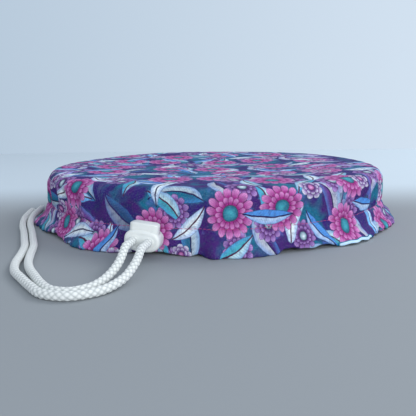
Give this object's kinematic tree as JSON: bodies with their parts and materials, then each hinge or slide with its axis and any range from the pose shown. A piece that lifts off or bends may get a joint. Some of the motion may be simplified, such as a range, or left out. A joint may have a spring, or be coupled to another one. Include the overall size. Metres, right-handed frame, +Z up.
{
  "type": "reusable bowl cover",
  "caption": "Round gathered fabric cover for a bowl, with a drawcord in its folded hem and a sprung two-hole cord lock.",
  "frame": {"origin": "under the middle of the whole, on the surface that the hem stands on", "axes": "+Z up, -Y to the front with the cord lock, +X to the right seen from the front"},
  "size_m": [0.2938, 0.3418, 0.039],
  "materials": {
    "printed_fabric": "printed laminated cotton, fine plain weave, slight sheen",
    "white_cord": "matte braided polyester",
    "white_plastic": "satin moulded",
    "spring_steel": "drawn wire"
  },
  "bodies": {
    "cloth": {"cover": "printed_fabric", "drawcord": "white_cord", "cord_tail_left": "white_cord", "cord_tail_right": "white_cord"},
    "cord_lock": {"lock_barrel": "white_plastic", "lock_spring": "spring_steel"},
    "button": {"lock_button": "white_plastic"}
  },
  "joints": [
    {"name": "lock_slide", "type": "slide", "parent": "cloth", "child": "cord_lock", "axis": [-0.1736, -0.9848, 0], "range_m": [0, 0.007]},
    {"name": "button_press", "type": "slide", "parent": "cord_lock", "child": "button", "axis": [-0.12, 0.0212, -0.9925], "range_m": [0, 0.002], "stiffness_N_per_m": 800, "springref_m": -0.003, "deforming": ["lock_spring"]}
  ]
}
